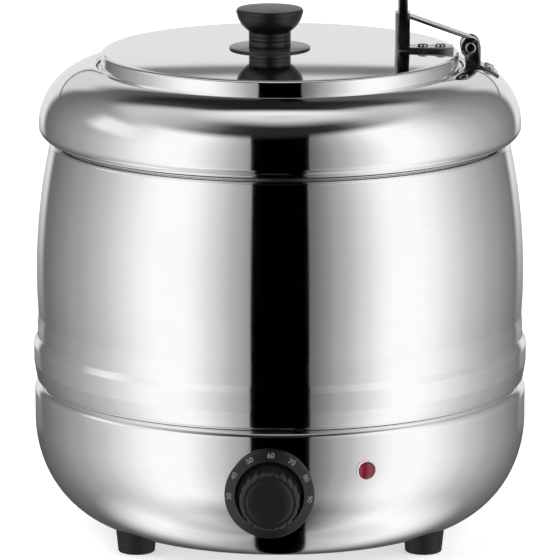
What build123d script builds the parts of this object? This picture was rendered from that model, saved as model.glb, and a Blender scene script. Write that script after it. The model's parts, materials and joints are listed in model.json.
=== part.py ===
from build123d import *
import os
from math import asin, cos, degrees, pi, radians, sin, sqrt, tan

# Ten-litre electric soup kettle: a double shell, a fixed water pan, a lift-out pot and a loose
# collar that carries the hinged lid. Millimetres, +Z up. The origin is on the table under the
# kettle's axis. The thermostat knob faces -Y, the lid hinge is at +X and the cord enters at +Y.

# Sheet metal
WALL = 1.0

# Lower bowl
BOWL_FLOOR_Z = 13.0
BOWL_FLOOR_R = 110.0
BOWL_R = 170.0
BOWL_CURVE_TOP_Z = 85.0
BOWL_SHOULDER_R = 8.0
SEAM_Z = 111.5
BOWL_FLANGE_R = 152.0
BASE_HOLE_R = 85.0

# Barrel and its waist band
BAND_ROLL_R = 3.0
BAND_FOOT_R = 168.3
BAND_R = 170.5
BAND_LOW_Z = 125.0
BAND_HIGH_Z = 132.5
FLARE_TOP_R = 167.9
FLARE_TOP_Z = 145.0
BARREL_R = 168.2
BARREL_WIDEST_Z = 185.0
BARREL_SIDE_RADIUS = 428.0
BARREL_TOP_Z = 278.0
BARREL_TOP_ROLL = 3.0
BARREL_MOUTH_R = 140.0

# Water pan and lift-out pot
PAN_R = 132.0
PAN_FLOOR_Z = 44.0
PAN_RIM_R = 152.0
POT_R = 121.0
POT_FLOOR_Z = 56.0
POT_RIM_R = 149.0
VESSEL_CORNER = 12.0
RIM_ROLL = 3.0
REST_GAP = 0.2
PAN_RIM_Z = BARREL_TOP_Z
POT_RIM_Z = PAN_RIM_Z + WALL + REST_GAP

# Collar
COLLAR_Z = POT_RIM_Z + WALL + REST_GAP
COLLAR_LIP_R = 119.5
COLLAR_LIP_Z = 272.0
COLLAR_WAIST_Z = 289.0
COLLAR_R = 166.0
COLLAR_UNDER_RADII = (16.0, 10.0)
COLLAR_DOME_RADII = (41.0, 42.0)
COLLAR_DOME_END = 86.5
COLLAR_NECK_R = 126.0
COLLAR_NECK_ROLL = 1.5
COLLAR_LEDGE_Z = 325.5
COLLAR_MOUTH_R = 117.0
COLLAR_MOUTH_LOW_Z = 320.0

# Lid
LID_R = 123.0
LID_RIM_Z = 339.4
LID_CENTRE_Z = 341.4
LID_CORNER = 2.5
LID_BEAD_R = 2.2
LID_BEAD_Z = COLLAR_LEDGE_Z + REST_GAP + LID_BEAD_R

# Lid knob, which stands a little to the left of the lid's centre
LID_KNOB_X = -7.0
LID_KNOB_TOP_Z = 370.0
LID_KNOB_CAP_Z = 365.4
LID_KNOB_STEM_TOP_Z = 353.6
LID_KNOB_WIDEST_R = 23.0
LID_KNOB_STEM_R = 14.4
KNOB_SCREW_R = 1.8
KNOB_SCREW_HOLE_R = 1.95
KNOB_FLANGE_R = 28.0
KNOB_FLANGE_TOP_Z = LID_CENTRE_Z + 1.2

# Lid hinge
HINGE_X = 130.5
HINGE_Z = 343.0
HINGE_PIN_R = 2.5
HINGE_RUNNING_GAP = 0.05
EAR_R = 7.0
EAR_T = 2.0
EAR_INSIDE_Y = 7.2
ARM_HALF_WIDTH = 7.0
ARM_T = 2.0
ARM_SLOPE = 19.6
KNUCKLE_R = 6.5
POST_X = (79.0, 89.0)
POST_T = 1.5
ARM_FOOT_TOP_Z = LID_CENTRE_Z + 1.4
BRACKET_X = (127.0, 150.0)
BRACKET_T = 1.6
BRACKET_RIVET_AT = (143.0, 5.5, 326.6)
BRACKET_RIVET_AIM = (0.37, 0, 0.93)
TAB_X = (81.0, 87.5)
TAB_TOP_Z = 379.0
ARM_FOOT_END_X = 119.0
ARM_RIVET_X = (98.0, 110.0)

# Thermostat and its knob
THERMO_X = -7.0
THERMO_Z = 69.5
THERMO_HALF = (18.0, 16.0)
THERMO_FRONT_Y = -158.0
THERMO_BACK_Y = -136.0
SPINDLE_R = 3.0
SKIRT_BACK_Y = -171.5
SKIRT_R = 30.0
SKIRT_T = 5.0
GRIP_R = 20.5
GRIP_FRONT_Y = -195.5
THERMO_SCREW_DX = 14.0
THERMO_SCREW_R = 1.9
THERMO_SPACER_Y = -164.8

# Pilot lamp, fitted square to the round wall
LAMP_X = 57.5
LAMP_Z = 83.0
LAMP_LENS_R = 5.8

# Cord gland
GLAND_Z = 80.0
GLAND_BORE_R = 4.0
GLAND_RELIEF_R = 5.5
GLAND_INSIDE_Y = 158.0
GLAND_NUT_FRONT_Y = 166.4
GLAND_SHOULDER_Y = 171.5
GLAND_HEX_FRONT_Y = 175.0
GLAND_OUTSIDE_Y = 195.5

# Feet
FOOT_RING_R = 114.0
FOOT_ANGLES = {"front_left": 210.0, "front_right": 330.0, "rear": 90.0}
FOOT_LOW_R = 12.5
FOOT_HIGH_R = 14.5

# Underside and heating
BASE_R = 95.0
BASE_T = 1.2
BASE_SCREW_RING_R = 90.0
TIE_RING_R = 50.0
TIE_ANGLES = (90.0, 210.0, 330.0)
TIE_R = 2.5
ELEMENT_RING_R = 85.0
ELEMENT_R = 3.25
ELEMENT_GAP_ANGLE = 14.0
ELEMENT_Z = PAN_FLOOR_Z - ELEMENT_R - 0.1
ELEMENT_BEND_R = 10.0
CLAMP_ANGLES = (30.0, 150.0, 270.0)
BULB_Y = -45.0
BULB_R = 3.1
BULB_LENGTH = 80.0
CUTOUT_Y = -15.0
CUTOUT_R = 8.0
STRAP_T = 1.2
TERMINAL_CENTRE = (-42.0, 52.0)
EARTH_AT = (42.0, 50.0)
LEAD_R = 1.4


def polar(radius, angle, height=0.0):
    return Vector(radius * cos(radians(angle)), radius * sin(radians(angle)), height)


def rod(radius, start, end):
    """A round bar between two points."""
    run = Vector(end) - Vector(start)
    return extrude(Plane(origin=start, z_dir=run) * Circle(radius), run.length)


def tube(outer, inner, start, end):
    return rod(outer, start, end) - rod(inner, start, end)


def hex_bar(across_flats, start, end):
    run = Vector(end) - Vector(start)
    return extrude(Plane(origin=start, z_dir=run) * RegularPolygon(across_flats / sqrt(3), 6), run.length)


def block(low, high):
    """A box given by its two opposite corners."""
    size = Vector(high) - Vector(low)
    middle = (Vector(high) + Vector(low)) / 2
    return Pos(middle) * Box(abs(size.X), abs(size.Y), abs(size.Z))


def pan_screw(seat, aim, thread_r, length):
    """A cross-slotted pan head screw: seat is the point under its head, aim runs along its shank."""
    seat, aim = Vector(seat), Vector(aim).normalized()
    head_top = seat - aim * thread_r
    cross = Rectangle(2.4 * thread_r, 0.5 * thread_r) + Rectangle(0.5 * thread_r, 2.4 * thread_r)
    recess = extrude(Plane(origin=head_top, z_dir=aim) * cross, 0.6 * thread_r)
    return rod(2 * thread_r, head_top, seat) + rod(thread_r, seat, seat + aim * length) - recess


def nut(start, end, thread_r):
    return hex_bar(3.4 * thread_r, start, end) - rod(thread_r, start, end)


def turned(edges):
    """Turn a closed section, drawn as radius and height, about the kettle's axis."""
    return revolve(Plane.XZ * make_face(edges), Axis.Z)


def turned_sheet(outline):
    """Turn the sheet between an outline and the same outline one wall further in."""
    outer, inner = outline(0.0), outline(WALL)
    ends = [Line(outer[0] @ 0, inner[0] @ 0), Line(outer[-1] @ 1, inner[-1] @ 1)]
    return turned(outer + inner + ends)


def turned_core(outline):
    """Turn everything inside an outline into a solid, to cut what is seated on that surface."""
    edges = outline(0.0)
    start, end = edges[0] @ 0, edges[-1] @ 1
    corners = [end, (0, end.Y), (0, start.Y)]
    if start.X > 0:
        corners.append(start)
    return turned(edges + Polyline(*corners).edges())


def bowl_outline(inset):
    floor = BOWL_FLOOR_Z + inset
    wall = BOWL_R - inset
    top = SEAM_Z - inset
    shoulder_z = SEAM_Z - BOWL_SHOULDER_R
    shoulder_x = BOWL_R - BOWL_SHOULDER_R
    curve = EllipticalCenterArc(
        (BOWL_FLOOR_R, BOWL_CURVE_TOP_Z), wall - BOWL_FLOOR_R, BOWL_CURVE_TOP_Z - floor, 270, arc_size=90
    )
    return [
        Line((BASE_HOLE_R, floor), (BOWL_FLOOR_R, floor)),
        curve,
        Line((wall, BOWL_CURVE_TOP_Z), (wall, shoulder_z)),
        CenterArc((shoulder_x, shoulder_z), BOWL_SHOULDER_R - inset, 0, 90),
        Line((shoulder_x, top), (BOWL_FLANGE_R, top)),
    ]


def barrel_top_radius():
    """Radius of the bulging side at the height where its top roll begins."""
    rise = BARREL_TOP_Z - BARREL_TOP_ROLL - BARREL_WIDEST_Z
    return BARREL_R - BARREL_SIDE_RADIUS + sqrt(BARREL_SIDE_RADIUS**2 - rise**2)


def barrel_outline(inset):
    floor = SEAM_Z + inset
    roll_x = BAND_FOOT_R - BAND_ROLL_R
    roll_z = SEAM_Z + BAND_ROLL_R
    neck_z = BARREL_TOP_Z - BARREL_TOP_ROLL
    neck_x = barrel_top_radius() - inset
    top_roll_x = barrel_top_radius() - BARREL_TOP_ROLL
    wall = Polyline(
        (BAND_FOOT_R - inset, roll_z),
        (BAND_R - inset, BAND_LOW_Z),
        (BAND_R - inset, BAND_HIGH_Z),
        (FLARE_TOP_R - inset, FLARE_TOP_Z),
    )
    widest = (BARREL_R - inset, BARREL_WIDEST_Z)
    return [
        Line((BOWL_FLANGE_R, floor), (roll_x, floor)),
        CenterArc((roll_x, roll_z), BAND_ROLL_R - inset, 270, 90),
        *wall.edges(),
        TangentArc(widest, (FLARE_TOP_R - inset, FLARE_TOP_Z), tangent=(0, -1)),
        TangentArc(widest, (neck_x, neck_z), tangent=(0, 1)),
        CenterArc((top_roll_x, neck_z), BARREL_TOP_ROLL - inset, 0, 90),
        Line((top_roll_x, BARREL_TOP_Z - inset), (BARREL_MOUTH_R, BARREL_TOP_Z - inset)),
    ]


def vessel_outline(radius, floor_z, rim_z, rim_r, inset):
    """Pan or pot: flat floor, round corner, straight side and a rim turned outwards."""
    floor = floor_z + inset
    corner_x = radius - VESSEL_CORNER
    corner_z = floor_z + VESSEL_CORNER
    roll_x = radius + RIM_ROLL
    roll_z = rim_z - RIM_ROLL
    return [
        Line((0, floor), (corner_x, floor)),
        CenterArc((corner_x, corner_z), VESSEL_CORNER - inset, 270, 90),
        Line((radius - inset, corner_z), (radius - inset, roll_z)),
        CenterArc((roll_x, roll_z), RIM_ROLL + inset, 180, -90),
        Line((roll_x, rim_z + inset), (rim_r, rim_z + inset)),
    ]


def pan_outline(inset):
    return vessel_outline(PAN_R, PAN_FLOOR_Z, PAN_RIM_Z, PAN_RIM_R, inset)


def pot_outline(inset):
    return vessel_outline(POT_R, POT_FLOOR_Z, POT_RIM_Z, POT_RIM_R, inset)


def collar_outline(inset):
    lip = COLLAR_LIP_R - inset
    floor = COLLAR_Z + inset
    under_rx, under_rz = (radius - inset for radius in COLLAR_UNDER_RADII)
    under_x = COLLAR_R - COLLAR_UNDER_RADII[0]
    under_start = degrees(asin((floor - COLLAR_WAIST_Z) / under_rz))
    under_edge = under_x + under_rx * cos(radians(under_start))
    dome_rx, dome_rz = (radius - inset for radius in COLLAR_DOME_RADII)
    dome_x = COLLAR_R - COLLAR_DOME_RADII[0]
    dome = EllipticalCenterArc(
        (dome_x, COLLAR_WAIST_Z), dome_rx, dome_rz, 0, arc_size=COLLAR_DOME_END
    )
    neck = COLLAR_NECK_R + inset
    roll_z = (dome @ 1).Y - COLLAR_NECK_ROLL + inset
    roll = ThreePointArc(
        dome @ 1,
        (neck + 0.35 * (COLLAR_NECK_ROLL - inset), roll_z + 0.72 * (COLLAR_NECK_ROLL - inset)),
        (neck, roll_z),
    )
    ledge = COLLAR_LEDGE_Z - inset
    mouth = COLLAR_MOUTH_R + inset
    return [
        *Polyline((lip, COLLAR_LIP_Z), (lip, floor), (under_edge, floor)).edges(),
        EllipticalCenterArc(
            (under_x, COLLAR_WAIST_Z), under_rx, under_rz, 360 + under_start, arc_size=-under_start
        ),
        dome,
        roll,
        *Polyline((neck, roll_z), (neck, ledge), (mouth, ledge), (mouth, COLLAR_MOUTH_LOW_Z)).edges(),
    ]


def lid_outline(inset):
    """From the middle of the lid's top, over its rounded rim and down the skirt."""
    rim_x = LID_R - LID_CORNER
    rim_z = LID_RIM_Z - inset
    return [
        TangentArc((0, LID_CENTRE_Z - inset), (rim_x, rim_z), tangent=(1, 0)),
        CenterArc((rim_x, LID_RIM_Z - LID_CORNER), LID_CORNER - inset, 90, -90),
        Line((LID_R - inset, LID_RIM_Z - LID_CORNER), (LID_R - inset, LID_BEAD_Z)),
    ]


def foot_centre(angle, height=0.0):
    return polar(FOOT_RING_R, angle, height)


def lamp_plane():
    """The lamp's own frame: its origin is on the outer wall and its z points straight out."""
    angle = asin(LAMP_X / BOWL_R)
    out = Vector(sin(angle), -cos(angle), 0)
    return Plane(origin=out * BOWL_R + Vector(0, 0, LAMP_Z), x_dir=(cos(angle), sin(angle), 0), z_dir=out)


def lamp_point(depth, side=0.0, height=0.0):
    return lamp_plane().from_local_coords(Vector(side, height, depth))


def lower_bowl():
    body = turned_sheet(bowl_outline)
    reach = Vector(0, 40, 0)
    middle = Vector(THERMO_X, SKIRT_BACK_Y, THERMO_Z)
    body -= rod(5.5, middle, middle + reach)
    for side in (-1, 1):
        hole = middle + Vector(side * THERMO_SCREW_DX, 0, 0)
        body -= rod(2.2, hole, hole + reach)
    body -= rod(5.2, lamp_point(5), lamp_point(-15))
    body -= rod(8.1, (0, 150, GLAND_Z), (0, 180, GLAND_Z))
    for angle in FOOT_ANGLES.values():
        body -= rod(2.7, foot_centre(angle), foot_centre(angle, 30))
    for index in range(4):
        angle = 45 + 90 * index
        body -= rod(2.0, polar(BASE_SCREW_RING_R, angle), polar(BASE_SCREW_RING_R, angle, 30))
    return body


def foot(angle):
    """A tapered rubber foot whose top is moulded to the curve of the bowl."""
    height = BOWL_FLOOR_Z + 6
    body = Pos(foot_centre(angle)) * Cone(
        FOOT_LOW_R, FOOT_HIGH_R, height, align=(Align.CENTER, Align.CENTER, Align.MIN)
    )
    body = fillet(body.edges().sort_by(Axis.Z)[0], 1.5)
    body -= turned_core(bowl_outline)
    body -= rod(5.5, foot_centre(angle), foot_centre(angle, 5))
    return body - rod(2.6, foot_centre(angle), foot_centre(angle, 30))


def base_plate():
    body = rod(BASE_R, (0, 0, BOWL_FLOOR_Z - BASE_T), (0, 0, BOWL_FLOOR_Z))
    for ring_r, count in ((70.0, 16), (30.0, 8)):
        for index in range(count):
            angle = 360 * (index + 0.5) / count
            slot = Rot(0, 0, angle) * Pos(ring_r, 0, 0) * SlotOverall(16, 3.5)
            body -= extrude(slot, 2 * BOWL_FLOOR_Z)
    for angle in TIE_ANGLES:
        body -= rod(TIE_R + 0.2, polar(TIE_RING_R, angle), polar(TIE_RING_R, angle, 30))
    for index in range(4):
        angle = 45 + 90 * index
        body -= rod(2.0, polar(BASE_SCREW_RING_R, angle), polar(BASE_SCREW_RING_R, angle, 30))
    for dx in (-10, 10):
        spot = Vector(TERMINAL_CENTRE[0] + dx, TERMINAL_CENTRE[1], 0)
        body -= rod(1.6, spot, spot + Vector(0, 0, 30))
    return body - rod(2.1, (*EARTH_AT, 0), (*EARTH_AT, 30))


def base_screws():
    seat_z = BOWL_FLOOR_Z - BASE_T
    return [
        pan_screw(polar(BASE_SCREW_RING_R, 45 + 90 * index, seat_z), (0, 0, 1), 1.9, 8)
        for index in range(4)
    ]


def foot_screws():
    return [pan_screw(foot_centre(angle, 5), (0, 0, 1), 2.5, 17) for angle in FOOT_ANGLES.values()]


def foot_nuts():
    return [nut(foot_centre(angle, 14.9), foot_centre(angle, 19), 2.5) for angle in FOOT_ANGLES.values()]


def tie_rods():
    low = BOWL_FLOOR_Z - BASE_T - 5.5
    return [
        rod(TIE_R, polar(TIE_RING_R, angle, low), polar(TIE_RING_R, angle, PAN_FLOOR_Z))
        for angle in TIE_ANGLES
    ]


def tie_nuts():
    top = BOWL_FLOOR_Z - BASE_T
    return [
        nut(polar(TIE_RING_R, angle, top - 4), polar(TIE_RING_R, angle, top), TIE_R)
        for angle in TIE_ANGLES
    ]


def heating_element():
    """A sheathed ring under the pan whose two ends turn down to their terminals."""
    start = 90 + ELEMENT_GAP_ANGLE
    sweep_angle = 360 - 2 * ELEMENT_GAP_ANGLE
    ring = Pos(0, 0, ELEMENT_Z) * CenterArc((0, 0), ELEMENT_RING_R, start, sweep_angle)
    bend = ELEMENT_BEND_R
    pieces = []
    pins = []
    for angle, way in ((start, -1), (start + sweep_angle, 1)):
        end = polar(ELEMENT_RING_R, angle, ELEMENT_Z)
        onward = Vector(-sin(radians(angle)), cos(radians(angle)), 0) * way
        middle = end + onward * bend * sin(pi / 4) - Vector(0, 0, bend * (1 - cos(pi / 4)))
        tip = end + onward * bend - Vector(0, 0, bend)
        pieces.append(ThreePointArc(end, middle, tip))
        pins.append(rod(1.5, tip, tip - Vector(0, 0, 6)))
    path = Wire([pieces[0], *ring.edges(), pieces[1]])
    section = Plane(origin=path @ 0, z_dir=path % 0) * Circle(ELEMENT_R)
    return sweep(section, path) + pins


def element_tip(way):
    """Bottom of one of the element's pins: way -1 is the left one, seen from the front."""
    angle = 90 - way * ELEMENT_GAP_ANGLE
    end = polar(ELEMENT_RING_R, angle, ELEMENT_Z - ELEMENT_BEND_R - 6)
    return end - Vector(sin(radians(angle)), -cos(radians(angle)), 0) * way * ELEMENT_BEND_R


def clamp_bars():
    """Three bars that hold the element up against the pan."""
    top = ELEMENT_Z - ELEMENT_R - 0.05
    bar = block((68, -6, top - STRAP_T), (99, 6, top)) + block((97.8, -6, top), (99, 6, PAN_FLOOR_Z))
    bar -= rod(2.0, (74, 0, 0), (74, 0, PAN_FLOOR_Z))
    return [Rot(0, 0, angle) * bar for angle in CLAMP_ANGLES]


def clamp_screws():
    seat_z = ELEMENT_Z - ELEMENT_R - 0.05 - STRAP_T
    return [
        pan_screw(polar(74, angle, seat_z), (0, 0, 1), 1.9, PAN_FLOOR_Z - seat_z) for angle in CLAMP_ANGLES
    ]


def thermostat_bulb():
    half = BULB_LENGTH / 2
    height = PAN_FLOOR_Z - BULB_R - 0.1
    body = rod(BULB_R, (-half, BULB_Y, height), (half, BULB_Y, height))
    return fillet(body.edges(), 1.2)


def bulb_strap():
    top = PAN_FLOOR_Z - 2 * BULB_R - 0.2
    body = block((-5, BULB_Y - 13, top - STRAP_T), (5, BULB_Y + 13, top))
    for side in (-1, 1):
        body += block(
            (-5, BULB_Y + side * 13, top), (5, BULB_Y + side * (13 - STRAP_T), PAN_FLOOR_Z)
        )
        body -= rod(1.6, (0, BULB_Y + 8 * side, 0), (0, BULB_Y + 8 * side, PAN_FLOOR_Z))
    return body


def cutout_bracket():
    top = PAN_FLOOR_Z - CUTOUT_R
    body = block((-20, CUTOUT_Y - 5, top - STRAP_T), (20, CUTOUT_Y + 5, top))
    for side in (-1, 1):
        body += block((side * 20, CUTOUT_Y - 5, top), (side * (20 - STRAP_T), CUTOUT_Y + 5, PAN_FLOOR_Z))
        body -= rod(1.6, (14 * side, CUTOUT_Y, 0), (14 * side, CUTOUT_Y, PAN_FLOOR_Z))
        body -= block((side * 2, CUTOUT_Y - 3, 0), (side * 6, CUTOUT_Y + 3, PAN_FLOOR_Z))
    return body


def thermal_cutout():
    """Disc safety switch against the pan's floor, with a flat tab each side underneath."""
    low = PAN_FLOOR_Z - CUTOUT_R
    body = rod(CUTOUT_R, (0, CUTOUT_Y, low), (0, CUTOUT_Y, PAN_FLOOR_Z))
    for side in (-1, 1):
        body += block((side * 3.6, CUTOUT_Y - 2, low - 5), (side * 4.4, CUTOUT_Y + 2, low))
    return body


def strap_screws():
    bulb_seat = PAN_FLOOR_Z - 2 * BULB_R - 0.2 - STRAP_T
    cutout_seat = PAN_FLOOR_Z - CUTOUT_R - STRAP_T
    screws = []
    for side in (-1, 1):
        screws.append(
            pan_screw((0, BULB_Y + 8 * side, bulb_seat), (0, 0, 1), 1.5, PAN_FLOOR_Z - bulb_seat)
        )
        screws.append(
            pan_screw((14 * side, CUTOUT_Y, cutout_seat), (0, 0, 1), 1.5, PAN_FLOOR_Z - cutout_seat)
        )
    return screws


def thermostat_body():
    half_x, half_z = THERMO_HALF
    body = block(
        (THERMO_X - half_x, THERMO_FRONT_Y, THERMO_Z - half_z),
        (THERMO_X + half_x, THERMO_BACK_Y, THERMO_Z + half_z),
    )
    body = fillet(body.edges().filter_by(Axis.Y), 2)
    boss = (THERMO_X, THERMO_FRONT_Y, THERMO_Z)
    body += rod(4.8, boss, (THERMO_X, THERMO_FRONT_Y - 8, THERMO_Z))
    bore = rod(
        SPINDLE_R + HINGE_RUNNING_GAP,
        (THERMO_X, THERMO_FRONT_Y + 10, THERMO_Z),
        (THERMO_X, THERMO_FRONT_Y - 8, THERMO_Z),
    )
    return body - bore


def thermostat_bracket():
    """A plate on the front of the thermostat with two threaded spacers up to the wall."""
    plate_t = 1.5
    front = THERMO_FRONT_Y - plate_t
    body = block((THERMO_X - 22, front, THERMO_Z - 10), (THERMO_X + 22, THERMO_FRONT_Y, THERMO_Z + 10))
    body -= rod(5.0, (THERMO_X, front - 1, THERMO_Z), (THERMO_X, THERMO_FRONT_Y + 1, THERMO_Z))
    for side in (-1, 1):
        spot = THERMO_X + side * THERMO_SCREW_DX
        body += rod(3.5, (spot, front, THERMO_Z), (spot, THERMO_SPACER_Y, THERMO_Z))
        body -= rod(2.0, (spot, THERMO_SPACER_Y - 1, THERMO_Z), (spot, THERMO_FRONT_Y, THERMO_Z))
    return body


def thermostat_screws():
    """Two screws from outside, hidden by the knob. Each head just touches the round wall."""
    head_r = 2 * THERMO_SCREW_R
    screws = []
    for side in (-1, 1):
        spot = THERMO_X + side * THERMO_SCREW_DX
        nearest = max(0, abs(spot) - head_r)
        seat = -sqrt(bowl_radius(THERMO_Z + head_r) ** 2 - nearest**2) - 0.05
        screws.append(pan_screw((spot, seat, THERMO_Z), (0, 1, 0), THERMO_SCREW_R, 9.5))
    return screws


def bowl_radius(height):
    """Outer radius of the bowl's curved side at a height."""
    drop = (BOWL_CURVE_TOP_Z - height) / (BOWL_CURVE_TOP_Z - BOWL_FLOOR_Z)
    return BOWL_FLOOR_R + (BOWL_R - BOWL_FLOOR_R) * sqrt(1 - drop**2)


def thermostat_spindle():
    """A round shaft with a flat on the stretch that the knob grips."""
    back, front = THERMO_FRONT_Y + 8, GRIP_FRONT_Y + 6
    body = rod(SPINDLE_R, (THERMO_X, back, THERMO_Z), (THERMO_X, front, THERMO_Z))
    flat = block(
        (THERMO_X - 5, front - 1, THERMO_Z + SPINDLE_R - 1.2), (THERMO_X + 5, front + 12, THERMO_Z + 5)
    )
    return body - flat


def knob_section():
    """Half of the knob's outline: radius against distance in front of the skirt's back."""
    depth = SKIRT_BACK_Y - GRIP_FRONT_Y
    return [
        *Polyline((0, 0), (SKIRT_R, 0), (SKIRT_R, 1.5), (SKIRT_R - 4.0, SKIRT_T)).edges(),
        *Polyline((SKIRT_R - 4.0, SKIRT_T), (GRIP_R + 2, SKIRT_T), (GRIP_R, SKIRT_T - 1)).edges(),
        Line((GRIP_R, SKIRT_T - 1), (GRIP_R - 0.8, depth - 3)),
        CenterArc((GRIP_R - 3.8, depth - 3), 3.0, 0, 90),
        *Polyline((GRIP_R - 3.8, depth), (0, depth), (0, 0)).edges(),
    ]


def knob_frame():
    return Plane(origin=(THERMO_X, SKIRT_BACK_Y, THERMO_Z), x_dir=(1, 0, 0), z_dir=(0, -1, 0))


def thermostat_knob():
    """Skirted knob, hollow at the back, with a ring of finger flutes."""
    body = knob_frame() * revolve(Plane.XZ * make_face(knob_section()), Axis.Z)
    depth = SKIRT_BACK_Y - GRIP_FRONT_Y
    for index in range(20):
        angle = 360 * (index + 0.5) / 20
        flute = Pos(polar(GRIP_R + 2.0, angle, SKIRT_T)) * Cylinder(
            2.6, depth, align=(Align.CENTER, Align.CENTER, Align.MIN)
        )
        body -= knob_frame() * flute
    middle = (THERMO_X, SKIRT_BACK_Y, THERMO_Z)
    hollow = tube(17.0, 6.0, middle, (THERMO_X, SKIRT_BACK_Y - 12, THERMO_Z))
    return body - hollow - thermostat_spindle()


def lamp_bezel():
    body = tube(7.4, LAMP_LENS_R + 0.05, lamp_point(0.02), lamp_point(1.6))
    body += rod(4.9, lamp_point(0.02), lamp_point(-20)) + rod(7.4, lamp_point(0.02), lamp_point(0.4))
    body -= rod(3.9, lamp_point(2), lamp_point(-18))
    for side in (-1, 1):
        body += rod(0.9, lamp_point(-20, 2.2 * side), lamp_point(-26, 2.2 * side))
    return body


def lamp_lens():
    flat = rod(LAMP_LENS_R, lamp_point(0.4), lamp_point(1.8))
    stem = rod(3.85, lamp_point(0.4), lamp_point(-8))
    cap_r = 8.0
    centre = lamp_point(1.8 + 2.6 - cap_r)
    dome = Pos(centre) * Sphere(cap_r) & rod(LAMP_LENS_R, lamp_point(1.8), lamp_point(8))
    return flat + stem + dome


def lamp_nut():
    return tube(7.8, 4.95, lamp_point(-2.0), lamp_point(-4.4))


def gland_body():
    """The cord's way in: a bore relieved at the inside, a hexagon against the wall and two threads."""
    back, front = (0, GLAND_INSIDE_Y, GLAND_Z), (0, GLAND_OUTSIDE_Y, GLAND_Z)
    shoulder = (0, GLAND_SHOULDER_Y, GLAND_Z)
    body = rod(6.4, back, front) + rod(8.0, back, shoulder)
    body += hex_bar(22, (0, BOWL_R + 0.02, GLAND_Z), (0, GLAND_HEX_FRONT_Y, GLAND_Z))
    return body - rod(GLAND_RELIEF_R, back, shoulder) - rod(GLAND_BORE_R, shoulder, front)


def gland_nut():
    back, front = (0, GLAND_INSIDE_Y + 3, GLAND_Z), (0, GLAND_NUT_FRONT_Y, GLAND_Z)
    return hex_bar(22, back, front) - rod(8.05, back, front)


def gland_cap():
    """The dome nut that squeezes the gland."""
    back, front = (0, GLAND_HEX_FRONT_Y + 0.1, GLAND_Z), (0, GLAND_OUTSIDE_Y - 1.5, GLAND_Z)
    body = hex_bar(20, back, front)
    body &= fillet(rod(11.2, back, front).edges().sort_by(Axis.Y)[-1], 6.0)
    return body - rod(6.45, back, front)


def terminal_block():
    x, y = TERMINAL_CENTRE
    low = BOWL_FLOOR_Z
    body = block((x - 15, y - 8, low), (x + 15, y + 8, low + 14))
    for dx in (-10, 0, 10):
        body -= rod(2.0, (x + dx, y - 8, low + 7), (x + dx, y + 8, low + 7))
        body -= rod(2.2, (x + dx, y + 4, low + 7), (x + dx, y + 4, low + 14))
    for dx in (-10, 10):
        body -= rod(1.6, (x + dx, y - 4, low), (x + dx, y - 4, low + 5))
    return body


def earth_bolt():
    x, y = EARTH_AT
    seat = BOWL_FLOOR_Z - BASE_T
    return pan_screw((x, y, seat), (0, 0, 1), 2.0, 13)


def earth_nuts():
    x, y = EARTH_AT
    low = BOWL_FLOOR_Z
    return [nut((x, y, low), (x, y, low + 3), 2.0), nut((x, y, low + 6), (x, y, low + 9), 2.0)]


def bent_tube(radius, points):
    """A tube along straight runs joined by arcs as large as their two runs allow."""
    points = [Vector(point) for point in points]
    runs = [b - a for a, b in zip(points, points[1:])]
    radii = [
        0.45 * min(first.length, second.length) / tan(radians(first.get_angle(second)) / 2)
        for first, second in zip(runs, runs[1:])
    ]
    path = FilletPolyline(*points, radius=radii)
    section = Plane(origin=path @ 0, z_dir=path % 0) * Circle(radius)
    return sweep(section, path), min(radii)


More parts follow.
